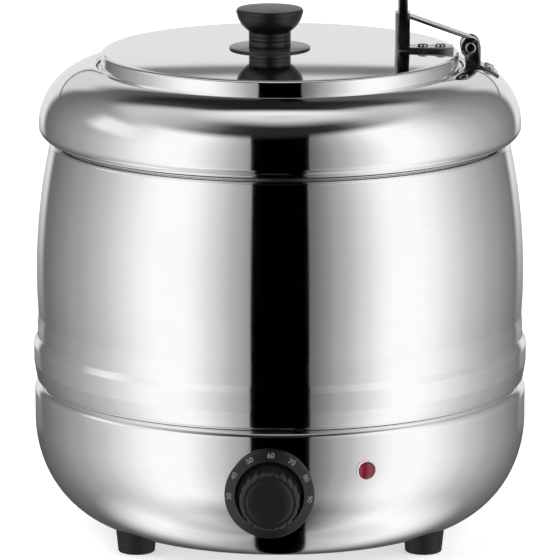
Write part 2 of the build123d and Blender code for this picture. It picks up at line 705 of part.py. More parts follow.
def lead_routes():
    """Points of each inside lead, from one terminal to the other. Each end meets its face squarely."""
    block_x, block_y = TERMINAL_CENTRE
    wire_z = BOWL_FLOOR_Z + 7
    front, rear = block_y - 8, block_y + 8
    under = THERMO_Z - THERMO_HALF[1]
    tab_z = PAN_FLOOR_Z - CUTOUT_R - 5
    left_pin, right_pin = element_tip(-1), element_tip(1)
    drop = Vector(0, 0, 7)
    tab_side = 2.2 + 0.9
    bulb_z = PAN_FLOOR_Z - BULB_R - 0.1
    return {
        "lead_supply": [
            (block_x, front, wire_z), (block_x, front - 12, wire_z), (-32, -2, 23), (-24, -50, 22),
            (-22, -98, 24), (-19, -132, 31), (-18, -147, 42), (-18, -147, under),
        ],
        "lead_switched": [
            (-6, -147, under), (-6, -147, 42), (-7, -130, 30), (-9, -98, 24),
            (-10, -62, 22), (-8, -34, 21), (-4, CUTOUT_Y, 23), (-4, CUTOUT_Y, tab_z),
        ],
        "lead_element": [
            (4, CUTOUT_Y, tab_z), (4, CUTOUT_Y, 24), (9, 2, 20.5), (19, 30, 19.5),
            (25, 60, 19), (20, 79, 17.5), right_pin - drop, right_pin,
        ],
        "lead_neutral": [
            (block_x + 10, front, wire_z), (block_x + 10, front - 8, wire_z), (-23, 30, 20.5),
            (-14, 42, 20), (-13, 66, 18), left_pin - drop, left_pin,
        ],
        "lead_earth": [
            (block_x - 10, front, wire_z), (block_x - 10, front - 14, wire_z), (-44, 4, 16), (-10, -4, 15.2),
            (20, 6, 15.2), (38, 26, 16), (EARTH_AT[0], 38, 17.5), (EARTH_AT[0], EARTH_AT[1] - 2, 17.5),
        ],
        "lead_lamp": [
            (THERMO_X + THERMO_HALF[0], -147, 76), (19, -147, 76), (31, -143.5, 80),
            lamp_point(-24, -10), lamp_point(-24, -tab_side),
        ],
        "lead_lamp_neutral": [
            (block_x + 10, rear, wire_z), (block_x + 10, rear + 9, wire_z), (-17, 76, 24), (14, 73, 25.5),
            (44, 65, 25), (64, 43, 26), (74, 5, 25.5), (77, -40, 26), (76, -84, 29), (75, -114, 40),
            (70, -126, 58), lamp_point(-24, 17, -9), lamp_point(-24, 10), lamp_point(-24, tab_side),
        ],
        "capillary_tube": [
            (BULB_LENGTH / 2, BULB_Y, bulb_z), (50, BULB_Y, bulb_z), (58, -54, 34), (55, -80, 27),
            (42, -106, 25.5), (24, -126, 28), (10, -139, 35), (5, -147, 44), (5, -147, under),
        ],
    }


def collar():
    body = turned_sheet(collar_outline)
    for side in (-1, 1):
        body -= bracket_rivet_line(side, 2.1)
    return body


def bracket_rivet_line(side, radius):
    """The line of one of the two rivets that hold the bracket to the dome."""
    middle, out = bracket_rivet_axis(side)
    return rod(radius, middle - out * 5, middle + out * 6)


def bracket_rivet_axis(side):
    """A point on the dome and the direction straight out of it, for one of the two rivets."""
    x, y, z = BRACKET_RIVET_AT
    return Vector(x, side * y, z), Vector(BRACKET_RIVET_AIM).normalized()


def hinge_bracket():
    """Two ears for the pin, on a saddle that follows the collar's dome."""
    outer_y = EAR_INSIDE_Y + EAR_T
    low = COLLAR_WAIST_Z + 30
    near, far = BRACKET_X
    body = block((near, -outer_y, low), (far, outer_y, HINGE_Z + EAR_R))
    dome_rx, dome_rz = (radius + BRACKET_T for radius in COLLAR_DOME_RADII)
    dome_x = COLLAR_R - COLLAR_DOME_RADII[0]
    cap = turned(
        [
            EllipticalCenterArc((dome_x, COLLAR_WAIST_Z), dome_rx, dome_rz, 0, arc_size=90),
            *Polyline(
                (dome_x, COLLAR_WAIST_Z + dome_rz),
                (0, COLLAR_WAIST_Z + dome_rz),
                (0, COLLAR_WAIST_Z),
                (dome_x + dome_rx, COLLAR_WAIST_Z),
            ).edges(),
        ]
    )
    saddle = body & cap
    ears = []
    for side in (-1, 1):
        inner, outer = sorted((side * EAR_INSIDE_Y, side * outer_y))
        ear = rod(EAR_R, (HINGE_X, inner, HINGE_Z), (HINGE_X, outer, HINGE_Z))
        ear += block((near, inner, low), (HINGE_X + EAR_R, outer, HINGE_Z))
        ears.append(ear)
    body = saddle + ears
    body -= rod(HINGE_PIN_R, (HINGE_X, -20, HINGE_Z), (HINGE_X, 20, HINGE_Z))
    for side in (-1, 1):
        body -= bracket_rivet_line(side, 2.1)
    return body - turned_core(collar_outline)


def bracket_rivets():
    rivets = []
    for side in (-1, 1):
        middle, out = bracket_rivet_axis(side)
        shank = rod(2.0, middle - out * 3.2, middle + out * 2.0)
        head = rod(3.4, middle + out * 1.9, middle + out * 3.3)
        tail = rod(3.2, middle - out * 3.2, middle - out * 2.0)
        rivets.append(shank + fillet(head.edges().sort_by(Axis.Z)[-1], 1.0) + tail)
    return rivets


def hinge_pin():
    """Pressed in the bracket's ears, with a low head each side."""
    ends = EAR_INSIDE_Y + EAR_T
    body = rod(HINGE_PIN_R, (HINGE_X, -ends, HINGE_Z), (HINGE_X, ends, HINGE_Z))
    for side in (-1, 1):
        head = rod(3.6, (HINGE_X, side * (ends + 0.02), HINGE_Z), (HINGE_X, side * (ends + 1.6), HINGE_Z))
        body += fillet(head.edges().group_by(Axis.Y)[0 if side < 0 else -1], 0.9)
        body += rod(HINGE_PIN_R, (HINGE_X, side * ends, HINGE_Z), (HINGE_X, side * (ends + 0.5), HINGE_Z))
    return body


def arm_strip():
    """The sloping strip from the pin's knuckle up to the top of the post."""
    slope = radians(ARM_SLOPE)
    rise_x, rise_z = -cos(slope), sin(slope)
    normal_x, normal_z = sin(slope), cos(slope)
    run = (HINGE_X - POST_X[0]) / cos(slope)
    top = (HINGE_X + normal_x * KNUCKLE_R, HINGE_Z + normal_z * KNUCKLE_R)
    low = (top[0] - normal_x * ARM_T, top[1] - normal_z * ARM_T)
    corners = [
        top,
        (top[0] + rise_x * run, top[1] + rise_z * run),
        (low[0] + rise_x * run, low[1] + rise_z * run),
        low,
    ]
    face = Plane.XZ * make_face(Polyline(*corners, close=True))
    strip = extrude(face, ARM_HALF_WIDTH, both=True)
    return strip, corners[1]


def hinge_arm():
    """Knuckle, sloping strip, folded post with a thumb tab, and the foot riveted to the lid."""
    half = ARM_HALF_WIDTH
    strip, post_top = arm_strip()
    knuckle = rod(KNUCKLE_R, (HINGE_X, -half, HINGE_Z), (HINGE_X, half, HINGE_Z))
    post_high = post_top[1] - 1.0
    left, right = POST_X
    low = LID_RIM_Z - 1
    post = block((left, -half, low), (right, half, post_high))
    post -= block((left + POST_T, -half + POST_T, low), (right, half - POST_T, post_high - POST_T))
    tab = block((TAB_X[0], -half, post_high - 3), (TAB_X[1], half, TAB_TOP_Z))
    tab = fillet(tab.edges().filter_by(Axis.Y).group_by(Axis.Z)[-1], 2.4)
    tab -= block((TAB_X[0] + POST_T, -half + POST_T, low), (TAB_X[1] + 1, half - POST_T, TAB_TOP_Z - 4))
    foot_plate = block((left, -half, low), (ARM_FOOT_END_X, half, ARM_FOOT_TOP_Z))
    body = strip + knuckle + post + tab + foot_plate
    body -= rod(HINGE_PIN_R + HINGE_RUNNING_GAP, (HINGE_X, -20, HINGE_Z), (HINGE_X, 20, HINGE_Z))
    for x in ARM_RIVET_X:
        body -= rod(2.1, (x, 0, low - 5), (x, 0, LID_CENTRE_Z + 2))
    return body - turned_core(lid_outline)


def arm_rivets():
    rivets = []
    top = ARM_FOOT_TOP_Z
    for x in ARM_RIVET_X:
        head = rod(3.6, (x, 0, top), (x, 0, top + 1.8))
        head = fillet(head.edges().group_by(Axis.Z)[-1], 1.2)
        tail = rod(3.2, (x, 0, LID_RIM_Z - 3.0), (x, 0, LID_RIM_Z - 1.2))
        rivets.append(head + rod(2.0, (x, 0, LID_RIM_Z - 3.0), (x, 0, top + 0.5)) + tail)
    return rivets


def lid():
    body = turned_sheet(lid_outline)
    bead = Pos(0, 0, LID_BEAD_Z) * Torus(LID_R - 0.2, LID_BEAD_R)
    body += bead
    body -= rod(KNOB_SCREW_HOLE_R, (LID_KNOB_X, 0, LID_BEAD_Z), (LID_KNOB_X, 0, LID_CENTRE_Z + 1))
    for x in ARM_RIVET_X:
        body -= rod(2.1, (x, 0, LID_BEAD_Z), (x, 0, LID_CENTRE_Z + 1))
    return body


def lid_knob():
    """Straight-stemmed plastic knob with a wide cap and a bore for its threaded insert."""
    low = KNOB_FLANGE_TOP_Z
    stem_top = (LID_KNOB_STEM_R, LID_KNOB_STEM_TOP_Z)
    cap_edge = (LID_KNOB_WIDEST_R - 0.4, LID_KNOB_CAP_Z)
    shoulder = (LID_KNOB_WIDEST_R - 1.0, LID_KNOB_TOP_Z - 1.0)
    profile = [
        *Polyline((0, low), (LID_KNOB_STEM_R, low), stem_top).edges(),
        ThreePointArc(stem_top, (LID_KNOB_STEM_R + 4.9, LID_KNOB_STEM_TOP_Z + 4.4), cap_edge),
        ThreePointArc(cap_edge, (LID_KNOB_WIDEST_R, LID_KNOB_CAP_Z + 1.9), shoulder),
        TangentArc((0, LID_KNOB_TOP_Z), shoulder, tangent=(1, 0)),
        Line((0, LID_KNOB_TOP_Z), (0, low)),
    ]
    body = Pos(LID_KNOB_X, 0, 0) * turned(profile)
    return body - rod(4.0, (LID_KNOB_X, 0, low), (LID_KNOB_X, 0, low + 16))


def knob_flange():
    """Thin disc between the knob and the lid."""
    low, high = LID_CENTRE_Z - 1, KNOB_FLANGE_TOP_Z
    body = rod(KNOB_FLANGE_R, (LID_KNOB_X, 0, low), (LID_KNOB_X, 0, high))
    body = fillet(body.edges().group_by(Axis.Z)[-1], 0.9)
    body -= rod(KNOB_SCREW_HOLE_R, (LID_KNOB_X, 0, low), (LID_KNOB_X, 0, high))
    return body - turned_core(lid_outline)


def knob_insert():
    low = KNOB_FLANGE_TOP_Z
    return tube(4.0, KNOB_SCREW_R, (LID_KNOB_X, 0, low), (LID_KNOB_X, 0, low + 15))


def knob_washer():
    top = LID_RIM_Z - 0.2
    return tube(7.5, KNOB_SCREW_HOLE_R, (LID_KNOB_X, 0, top - 1.2), (LID_KNOB_X, 0, top))


def knob_screw():
    return pan_screw((LID_KNOB_X, 0, LID_RIM_Z - 1.4), (0, 0, 1), KNOB_SCREW_R, 16)


def write(name, shape):
    solids = shape if isinstance(shape, list) else [shape]
    body = Compound(children=[solid for piece in solids for solid in piece.solids()])
    export_step(body, f"parts/{name}.step")


def main():
    os.makedirs("parts", exist_ok=True)
    pieces = {
        "lower_bowl": lower_bowl(),
        "barrel_shell": turned_sheet(barrel_outline),
        "water_pan": turned_sheet(pan_outline),
        "inner_pot": turned_sheet(pot_outline),
        "base_plate": base_plate(),
        "base_screws": base_screws(),
        "foot_screws": foot_screws(),
        "foot_nuts": foot_nuts(),
        "tie_rods": tie_rods(),
        "tie_nuts": tie_nuts(),
        "heating_element": heating_element(),
        "clamp_bars": clamp_bars(),
        "clamp_screws": clamp_screws(),
        "thermostat_bulb": thermostat_bulb(),
        "bulb_strap": bulb_strap(),
        "thermal_cutout": thermal_cutout(),
        "cutout_bracket": cutout_bracket(),
        "strap_screws": strap_screws(),
        "thermostat_body": thermostat_body(),
        "thermostat_bracket": thermostat_bracket(),
        "thermostat_screws": thermostat_screws(),
        "thermostat_spindle": thermostat_spindle(),
        "thermostat_knob": thermostat_knob(),
        "lamp_bezel": lamp_bezel(),
        "lamp_lens": lamp_lens(),
        "lamp_nut": lamp_nut(),
        "gland_body": gland_body(),
        "gland_nut": gland_nut(),
        "gland_cap": gland_cap(),
        "terminal_block": terminal_block(),
        "earth_bolt": earth_bolt(),
        "earth_nuts": earth_nuts(),
        "collar": collar(),
        "hinge_bracket": hinge_bracket(),
        "bracket_rivets": bracket_rivets(),
        "hinge_pin": hinge_pin(),
        "hinge_arm": hinge_arm(),
        "arm_rivets": arm_rivets(),
        "lid": lid(),
        "lid_knob": lid_knob(),
        "knob_flange": knob_flange(),
        "knob_insert": knob_insert(),
        "knob_washer": knob_washer(),
        "knob_screw": knob_screw(),
    }
    for place, angle in FOOT_ANGLES.items():
        pieces[f"foot_{place}"] = foot(angle)
    for name, points in lead_routes().items():
        radius = 1.1 if name == "capillary_tube" else LEAD_R
        pieces[name], tightest = bent_tube(radius, points)
        print(f"{name}: tightest bend {tightest:.1f} mm")
    for name, shape in pieces.items():
        write(name, shape)


if __name__ == "__main__":
    main()
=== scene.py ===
import json
from math import asin, atan2, cos, degrees, hypot, pi, radians, sin

import bmesh
import bpy
from mathutils import Matrix, Vector


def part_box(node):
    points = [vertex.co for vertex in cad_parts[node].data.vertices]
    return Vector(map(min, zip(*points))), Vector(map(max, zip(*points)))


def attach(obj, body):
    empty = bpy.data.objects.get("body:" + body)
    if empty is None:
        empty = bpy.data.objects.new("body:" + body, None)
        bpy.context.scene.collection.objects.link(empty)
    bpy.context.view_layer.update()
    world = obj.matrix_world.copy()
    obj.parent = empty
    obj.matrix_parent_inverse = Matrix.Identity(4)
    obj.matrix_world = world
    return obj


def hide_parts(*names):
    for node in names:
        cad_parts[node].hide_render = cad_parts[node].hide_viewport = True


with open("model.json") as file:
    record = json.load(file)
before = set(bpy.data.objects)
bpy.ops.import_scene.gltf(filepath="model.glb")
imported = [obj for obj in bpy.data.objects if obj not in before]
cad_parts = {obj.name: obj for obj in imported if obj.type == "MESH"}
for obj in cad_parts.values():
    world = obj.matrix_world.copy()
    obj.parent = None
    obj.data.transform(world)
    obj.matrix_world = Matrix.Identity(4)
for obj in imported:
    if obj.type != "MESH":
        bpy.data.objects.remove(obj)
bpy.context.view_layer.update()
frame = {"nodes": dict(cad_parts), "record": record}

# Soup kettle. Metres, +Z up, the thermostat knob faces -Y and the lid's hinge is at +X.
# Outlines are drawn in millimetres as (radius, height) and scaled by MM when they are turned.
MM = 0.001
SHEET = 1.0
SEGMENTS = 240


# ---------------------------------------------------------------- outlines

def arc(centre, radii, start, end, steps):
    """Points of an ellipse's arc, in degrees, both ends included."""
    rx, rz = radii if isinstance(radii, tuple) else (radii, radii)
    angles = [radians(start + (end - start) * i / steps) for i in range(steps + 1)]
    return [(centre[0] + rx * cos(a), centre[1] + rz * sin(a)) for a in angles]


def through(first, middle, last, steps):
    """Points of the circle's arc through three points, both ends included."""
    (ax, ay), (bx, by), (cx, cy) = first, middle, last
    twice = 2 * (ax * (by - cy) + bx * (cy - ay) + cx * (ay - by))
    a2, b2, c2 = ax * ax + ay * ay, bx * bx + by * by, cx * cx + cy * cy
    centre = (
        (a2 * (by - cy) + b2 * (cy - ay) + c2 * (ay - by)) / twice,
        (a2 * (cx - bx) + b2 * (ax - cx) + c2 * (bx - ax)) / twice,
    )
    start = atan2(ay - centre[1], ax - centre[0])
    sweep = (atan2(cy - centre[1], cx - centre[0]) - start + pi) % (2 * pi) - pi
    radius = hypot(ax - centre[0], ay - centre[1])
    return arc(centre, radius, degrees(start), degrees(start + sweep), steps)


def line(start, end, step=6.0):
    """Points of a straight stretch, without its first point."""
    count = max(1, round(hypot(end[0] - start[0], end[1] - start[1]) / step))
    return [
        (start[0] + (end[0] - start[0]) * i / count, start[1] + (end[1] - start[1]) * i / count)
        for i in range(1, count + 1)
    ]


def rounded(corners, steps=5):
    """A line through corners given as (radius, height, fillet)."""
    points = [corners[0][:2]]
    for before, here, after in zip(corners, corners[1:], corners[2:]):
        corner = Vector(here[:2])
        back = (Vector(before[:2]) - corner).normalized()
        on = (Vector(after[:2]) - corner).normalized()
        half = back.angle(on) / 2
        reach = here[2] / max(1e-6, abs(sin(half) / cos(half)))
        centre = corner + (back + on).normalized() * here[2] / sin(half)
        first, last = corner + back * reach, corner + on * reach
        a0 = atan2(first.y - centre.y, first.x - centre.x)
        a1 = atan2(last.y - centre.y, last.x - centre.x)
        sweep = (a1 - a0 + pi) % (2 * pi) - pi
        points += line(points[-1], tuple(first))
        turns = [a0 + sweep * i / steps for i in range(1, steps + 1)]
        points += [(centre.x + here[2] * cos(a), centre.y + here[2] * sin(a)) for a in turns]
    return points + line(points[-1], corners[-1][:2])


def offset(points, distance):
    """The same line moved to the left of its travel."""
    moved = []
    for i, point in enumerate(points):
        before = points[max(0, i - 1)]
        after = points[min(len(points) - 1, i + 1)]
        run = Vector((after[0] - before[0], after[1] - before[1])).normalized()
        moved.append((max(0.0, point[0] - run.y * distance), point[1] + run.x * distance))
    return moved


def hem(start, end):
    """A half-round edge between the two faces of a sheet, without its two ends."""
    middle = (Vector(start) + Vector(end)) / 2
    spoke = Vector(start) - middle
    side = Vector((spoke.y, -spoke.x))
    return [tuple(middle + spoke * cos(a) - side * sin(a)) for a in (pi / 4, pi / 2, 3 * pi / 4)]


def sheet(points, thickness=SHEET):
    """Closed section of a sheet whose second face lies to the left of the first one's travel."""
    other = offset(points, thickness)[::-1]
    section = points + hem(points[-1], other[0]) + other
    if points[0][0] > 0:
        section += hem(other[-1], points[0])
    return section


# ---------------------------------------------------------------- meshes

def finish_mesh(name, mesh, material, body, replaced=(), sharp=40):
    """Smooth the mesh but for its real edges, and put the piece on its body."""
    mesh.polygons.foreach_set("use_smooth", [True] * len(mesh.polygons))
    mesh.set_sharp_from_angle(angle=radians(sharp))
    piece = bpy.data.objects.new(name, mesh)
    bpy.context.scene.collection.objects.link(piece)
    mesh.materials.clear()
    mesh.materials.append(material)
    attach(piece, body)
    if replaced:
        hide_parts(*replaced)
    return piece


def turned_mesh(name, section, place=None, segments=SEGMENTS, shape=None):
    """Turn a section about its axis. shape(radius, height, angle) may change a point's radius."""
    bm = bmesh.new()
    place = place or Matrix.Identity(4)
    rings = []
    for radius, height in section:
        if radius < 1e-4:
            rings.append([bm.verts.new(place @ Vector((0, 0, height * MM)))])
            continue
        ring = []
        for i in range(segments):
            angle = 2 * pi * i / segments
            reach = (shape(radius, height, angle) if shape else radius) * MM
            ring.append(bm.verts.new(place @ Vector((reach * cos(angle), reach * sin(angle), height * MM))))
        rings.append(ring)
    closed = section[0][0] >= 1e-4
    pairs = list(zip(rings, rings[1:])) + ([(rings[-1], rings[0])] if closed else [])
    for low, high in pairs:
        for i in range(segments):
            j = (i + 1) % segments
            corners = [low[i % len(low)], low[j % len(low)], high[j % len(high)], high[i % len(high)]]
            unique = list(dict.fromkeys(corners))
            if len(unique) > 2:
                bm.faces.new(unique)
    bmesh.ops.recalc_face_normals(bm, faces=bm.faces)
    mesh = bpy.data.meshes.new(name)
    bm.to_mesh(mesh)
    bm.free()
    return mesh


def softened_mesh(name, node, width, steps=2):
    """A CAD node's mesh with its edges broken by a small radius."""
    bm = bmesh.new()
    bm.from_mesh(frame["nodes"][node].data)
    bmesh.ops.remove_doubles(bm, verts=bm.verts, dist=1e-6)
    bmesh.ops.dissolve_limit(bm, angle_limit=radians(0.6), verts=bm.verts, edges=bm.edges)
    edges = [e for e in bm.edges if len(e.link_faces) == 2 and e.calc_face_angle() > radians(35)]
    bmesh.ops.bevel(
        bm, geom=edges, offset=width * MM, segments=steps, profile=0.5, affect="EDGES", clamp_overlap=True
    )
    bmesh.ops.recalc_face_normals(bm, faces=bm.faces)
    mesh = bpy.data.meshes.new(name)
    bm.to_mesh(mesh)
    bm.free()
    return mesh


# ---------------------------------------------------------------- materials

def add(tree, kind, settings=None, **inputs):
    """A node whose inputs are set to values or linked to sockets."""
    node = tree.nodes.new(kind)
    for key, value in (settings or {}).items():
        setattr(node, key, value)
    for key, value in inputs.items():
        socket = node.inputs[int(key[1:])] if key[0] == "i" and key[1:].isdigit() else node.inputs[key]
        if isinstance(value, bpy.types.NodeSocket):
            tree.links.new(value, socket)
        else:
            socket.default_value = value
    return node


def maths(tree, operation, first, second=0.0, third=0.0):
    settings = {"operation": operation}
    return add(tree, "ShaderNodeMath", settings, i0=first, i1=second, i2=third).outputs[0]


def scaled_range(tree, value, low, high, to_low, to_high, smooth=False):
    settings = {"interpolation_type": "SMOOTHSTEP" if smooth else "LINEAR"}
    return add(
        tree, "ShaderNodeMapRange", settings, i0=value, i1=low, i2=high, i3=to_low, i4=to_high
    ).outputs[0]


def mixed(tree, share, first, second):
    node = add(tree, "ShaderNodeMix", {"data_type": "RGBA"})
    for socket, value in ((node.inputs[0], share), (node.inputs[6], first), (node.inputs[7], second)):
        if isinstance(value, bpy.types.NodeSocket):
            tree.links.new(value, socket)
        else:
            socket.default_value = value
    return node.outputs[2]


def mixed_value(tree, share, first, second):
    return maths(tree, "MULTIPLY_ADD", share, maths(tree, "SUBTRACT", second, first), first)


def new_material(name, **constants):
    """A Principled material; the constants go on the shader's own sockets."""
    material = bpy.data.materials.new(name)
    material.use_nodes = True
    tree = material.node_tree
    shader = tree.nodes["Principled BSDF"]
    for key, value in constants.items():
        shader.inputs[key.replace("_", " ")].default_value = value
    return material, tree, shader


def noise(tree, vector, scale, detail=3.0, roughness=0.55):
    return add(
        tree, "ShaderNodeTexNoise", Vector=vector, Scale=scale, Detail=detail, Roughness=roughness
    ).outputs[0]


def place_of(tree):
    """Where a point of the piece is, in the piece's own space."""
    return add(tree, "ShaderNodeTexCoord").outputs["Object"]


def ring_coordinates(tree):
    """Distance from the kettle's axis, a little of the angle, and height: polish lines run round in it."""
    parts = add(tree, "ShaderNodeSeparateXYZ", Vector=place_of(tree)).outputs
    depth_squared = maths(tree, "MULTIPLY", parts[1], parts[1])
    radius = maths(tree, "SQRT", maths(tree, "MULTIPLY_ADD", parts[0], parts[0], depth_squared))
    angle = maths(tree, "MULTIPLY", maths(tree, "ARCTAN2", parts[1], parts[0]), 0.004)
    return add(tree, "ShaderNodeCombineXYZ", X=radius, Y=angle, Z=parts[2]).outputs[0]


def bump(tree, shader, height, strength, distance):
    node = add(tree, "ShaderNodeBump", Height=height, Strength=strength, Distance=distance)
    tree.links.new(node.outputs[0], shader.inputs["Normal"])


def turned_steel(name, tint, roughness, spread, lines):
    """Stainless steel polished on a lathe: fine rings, cloudy wipe marks, a few brighter grains."""
    material, tree, shader = new_material(name, Metallic=1.0)
    rings = noise(tree, ring_coordinates(tree), 900.0, 4.0, 0.7)
    clouds = noise(tree, place_of(tree), 14.0, 3.0, 0.5)
    both = maths(tree, "MULTIPLY_ADD", rings, 0.6, maths(tree, "MULTIPLY", clouds, 0.4))
    rough = scaled_range(tree, both, 0.3, 0.7, roughness - spread, roughness + spread)
    tree.links.new(rough, shader.inputs["Roughness"])
    low = [c * 0.965 for c in tint] + [1]
    high = [min(1.0, c * 1.015) for c in tint] + [1]
    share = scaled_range(tree, both, 0.35, 0.65, 0.0, 1.0)
    tree.links.new(mixed(tree, share, low, high), shader.inputs["Base Color"])
    bump(tree, shader, rings, lines, 0.00002)
    return material


def pressed_steel(name, tint, roughness, spread, grain):
    """Steel with no turning lines: fine random grain and rubbed patches."""
    material, tree, shader = new_material(name, Metallic=1.0)
    fine = noise(tree, place_of(tree), grain, 4.0, 0.65)
    patches = noise(tree, place_of(tree), 60.0, 2.0, 0.5)
    both = maths(tree, "MULTIPLY_ADD", fine, 0.5, maths(tree, "MULTIPLY", patches, 0.5))
    rough = scaled_range(tree, both, 0.3, 0.7, roughness - spread, roughness + spread)
    tree.links.new(rough, shader.inputs["Roughness"])
    low = [c * 0.9 for c in tint] + [1]
    tree.links.new(mixed(tree, both, low, [*tint, 1]), shader.inputs["Base Color"])
    bump(tree, shader, fine, 0.15, 0.00004)
    return material


def moulded(name, tint, roughness, grain, relief, coat=0.0, subsurface=0.0):
    """Plastic or rubber with a moulded grain, slightly uneven in colour and gloss."""
    material, tree, shader = new_material(name)
    shader.inputs["Coat Weight"].default_value = coat
    shader.inputs["Subsurface Weight"].default_value = subsurface
    fine = noise(tree, place_of(tree), grain, 5.0, 0.6)
    broad = noise(tree, place_of(tree), 90.0, 2.0, 0.5)
    both = maths(tree, "MULTIPLY_ADD", fine, 0.5, maths(tree, "MULTIPLY", broad, 0.5))
    rough = scaled_range(tree, both, 0.3, 0.7, roughness * 0.85, min(1.0, roughness * 1.15))
    tree.links.new(rough, shader.inputs["Roughness"])
    low = [c * 0.82 for c in tint] + [1]
    high = [min(1.0, c * 1.15) for c in tint] + [1]
    tree.links.new(mixed(tree, both, low, high), shader.inputs["Base Color"])
    bump(tree, shader, fine, relief, 0.00005)
    return material


def lens_material():
    """Clear red moulding over a darker reflector, with a faint facet grid; painted light makes the red
    brighter towards its middle, where it faces the viewer, and darker towards its rim.
    """
    material, tree, shader = new_material("lens_red", Roughness=0.12)
    shader.inputs["Coat Weight"].default_value = 0.3
    shader.inputs["Subsurface Weight"].default_value = 0.1
    shader.inputs["Subsurface Radius"].default_value = (0.004, 0.0008, 0.0012)
    facing = add(tree, "ShaderNodeLayerWeight", Blend=0.35).outputs["Facing"]
    cells = add(tree, "ShaderNodeTexVoronoi", Vector=place_of(tree), Scale=900.0).outputs["Distance"]
    share = maths(tree, "MULTIPLY_ADD", cells, 0.25, facing)
    # Painted light: bright red where the lens faces the viewer, dark red where it turns away.
    red = mixed(tree, share, (0.20, 0.009, 0.034, 1), (0.05, 0.001, 0.009, 1))
    tree.links.new(red, shader.inputs["Base Color"])
    bump(tree, shader, cells, 0.25, 0.00008)
    return material


def striped_lead(name, tint, second):
    """Insulated wire; the earth wire has a second colour in long stripes."""
    material, tree, shader = new_material(name, Roughness=0.45)
    fine = noise(tree, place_of(tree), 1800.0, 3.0)
    wave = add(
        tree, "ShaderNodeTexWave", Vector=place_of(tree), Scale=90.0, Distortion=1.2
    ).outputs["Fac"]
    stripe = scaled_range(tree, wave, 0.5, 0.6, 0.0, 1.0)
    share = maths(tree, "MULTIPLY_ADD", fine, 0.25, maths(tree, "MULTIPLY", stripe, 0.75))
    tree.links.new(mixed(tree, share, [*tint, 1], [*second, 1]), shader.inputs["Base Color"])
    bump(tree, shader, fine, 0.2, 0.00005)
    return material


POLISHED = turned_steel("steel_polished", (0.93, 0.93, 0.935), 0.055, 0.02, 0.05)
POLISHED_LID = turned_steel("steel_polished_lid", (0.93, 0.93, 0.935), 0.045, 0.015, 0.03)
SATIN = turned_steel("steel_satin", (0.80, 0.80, 0.81), 0.24, 0.07, 0.3)
HINGE_STEEL = pressed_steel("steel_hinge", (0.62, 0.62, 0.63), 0.15, 0.06, 900.0)
PLATED = pressed_steel("steel_plated", (0.74, 0.75, 0.76), 0.28, 0.09, 1200.0)
SHEATH = pressed_steel("steel_sheath", (0.30, 0.27, 0.25), 0.42, 0.1, 1500.0)
COPPER = pressed_steel("copper_drawn", (0.80, 0.42, 0.27), 0.27, 0.08, 1200.0)
BRASS = pressed_steel("brass_turned", (0.80, 0.62, 0.30), 0.25, 0.08, 1200.0)
BLACK_PLASTIC = moulded("plastic_black", (0.006, 0.006, 0.0065), 0.32, 1600.0, 0.12)
KNOB_PLASTIC = moulded("plastic_knob", (0.007, 0.007, 0.0075), 0.36, 1400.0, 0.16)
KNOB_FOOT_DISC = moulded("knob_foot_disc", (0.020, 0.020, 0.021), 0.12, 1600.0, 0.05)
RUBBER = moulded("rubber_black", (0.006, 0.006, 0.0065), 0.62, 1100.0, 0.35)
PALE_PLASTIC = moulded("plastic_pale", (0.78, 0.68, 0.68), 0.30, 1600.0, 0.1, subsurface=0.1)
CASING = moulded("casing_cream", (0.66, 0.62, 0.52), 0.45, 1300.0, 0.2)
PRINT = moulded("print_grey", (0.17, 0.17, 0.17), 0.55, 2000.0, 0.1)
LENS = lens_material()
LEADS = {
    "brown_lead": striped_lead("lead_brown", (0.16, 0.06, 0.025), (0.12, 0.045, 0.02)),
    "blue_lead": striped_lead("lead_blue", (0.03, 0.12, 0.42), (0.025, 0.09, 0.34)),
    "earth_lead": striped_lead("lead_green_yellow", (0.62, 0.56, 0.03), (0.03, 0.30, 0.06)),
}
SLOT_MATERIALS = {
    "polished_steel": POLISHED,
    "satin_steel": SATIN,
    "hinge_steel": HINGE_STEEL,
    "plated_steel": PLATED,
    "black_rubber": RUBBER,
    "black_plastic": BLACK_PLASTIC,
    "red_lens": LENS,
    "pale_plastic": PALE_PLASTIC,
    "thermostat_casing": CASING,
    "element_sheath": SHEATH,
    "copper_tube": COPPER,
    "brass": BRASS,
    **LEADS,
}


# ---------------------------------------------------------------- the frame's own facts

def mm_box(node):
    """The two corners of a CAD node's box, in millimetres."""
    low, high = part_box(node)
    return low / MM, high / MM


SLOT_OF = {part["node"]: part["material_slot"] for part in frame["record"]["subparts"]}
BODY_OF = {
    node: body for body, members in frame["record"]["behaviour"]["bodies"].items() for node in members
}


def piece_for(node, mesh, material=None):
    """A finished mesh that stands for one CAD node, on that node's body and in its material slot."""
    slot = SLOT_OF[node]
    material = material or SLOT_MATERIALS[slot]
    return finish_mesh(f"{node}_shape", mesh, material, BODY_OF[node], (node,))


# ---------------------------------------------------------------- shells

def bowl_points():
    low, high = mm_box("lower_bowl")
    flat_r, side_z, shoulder_r, hole_r, flange_r = 110.0, 85.0, 8.0, 85.0, 152.0
    wall = high.x
    points = [(hole_r, low.z)] + line((hole_r, low.z), (flat_r, low.z))
    points += arc((flat_r, side_z), (wall - flat_r, side_z - low.z), 270, 360, 56)[1:]
    points += line((wall, side_z), (wall, high.z - shoulder_r))
    points += arc((wall - shoulder_r, high.z - shoulder_r), shoulder_r, 0, 90, 18)[1:]
    return points + line((wall - shoulder_r, high.z), (flange_r, high.z))


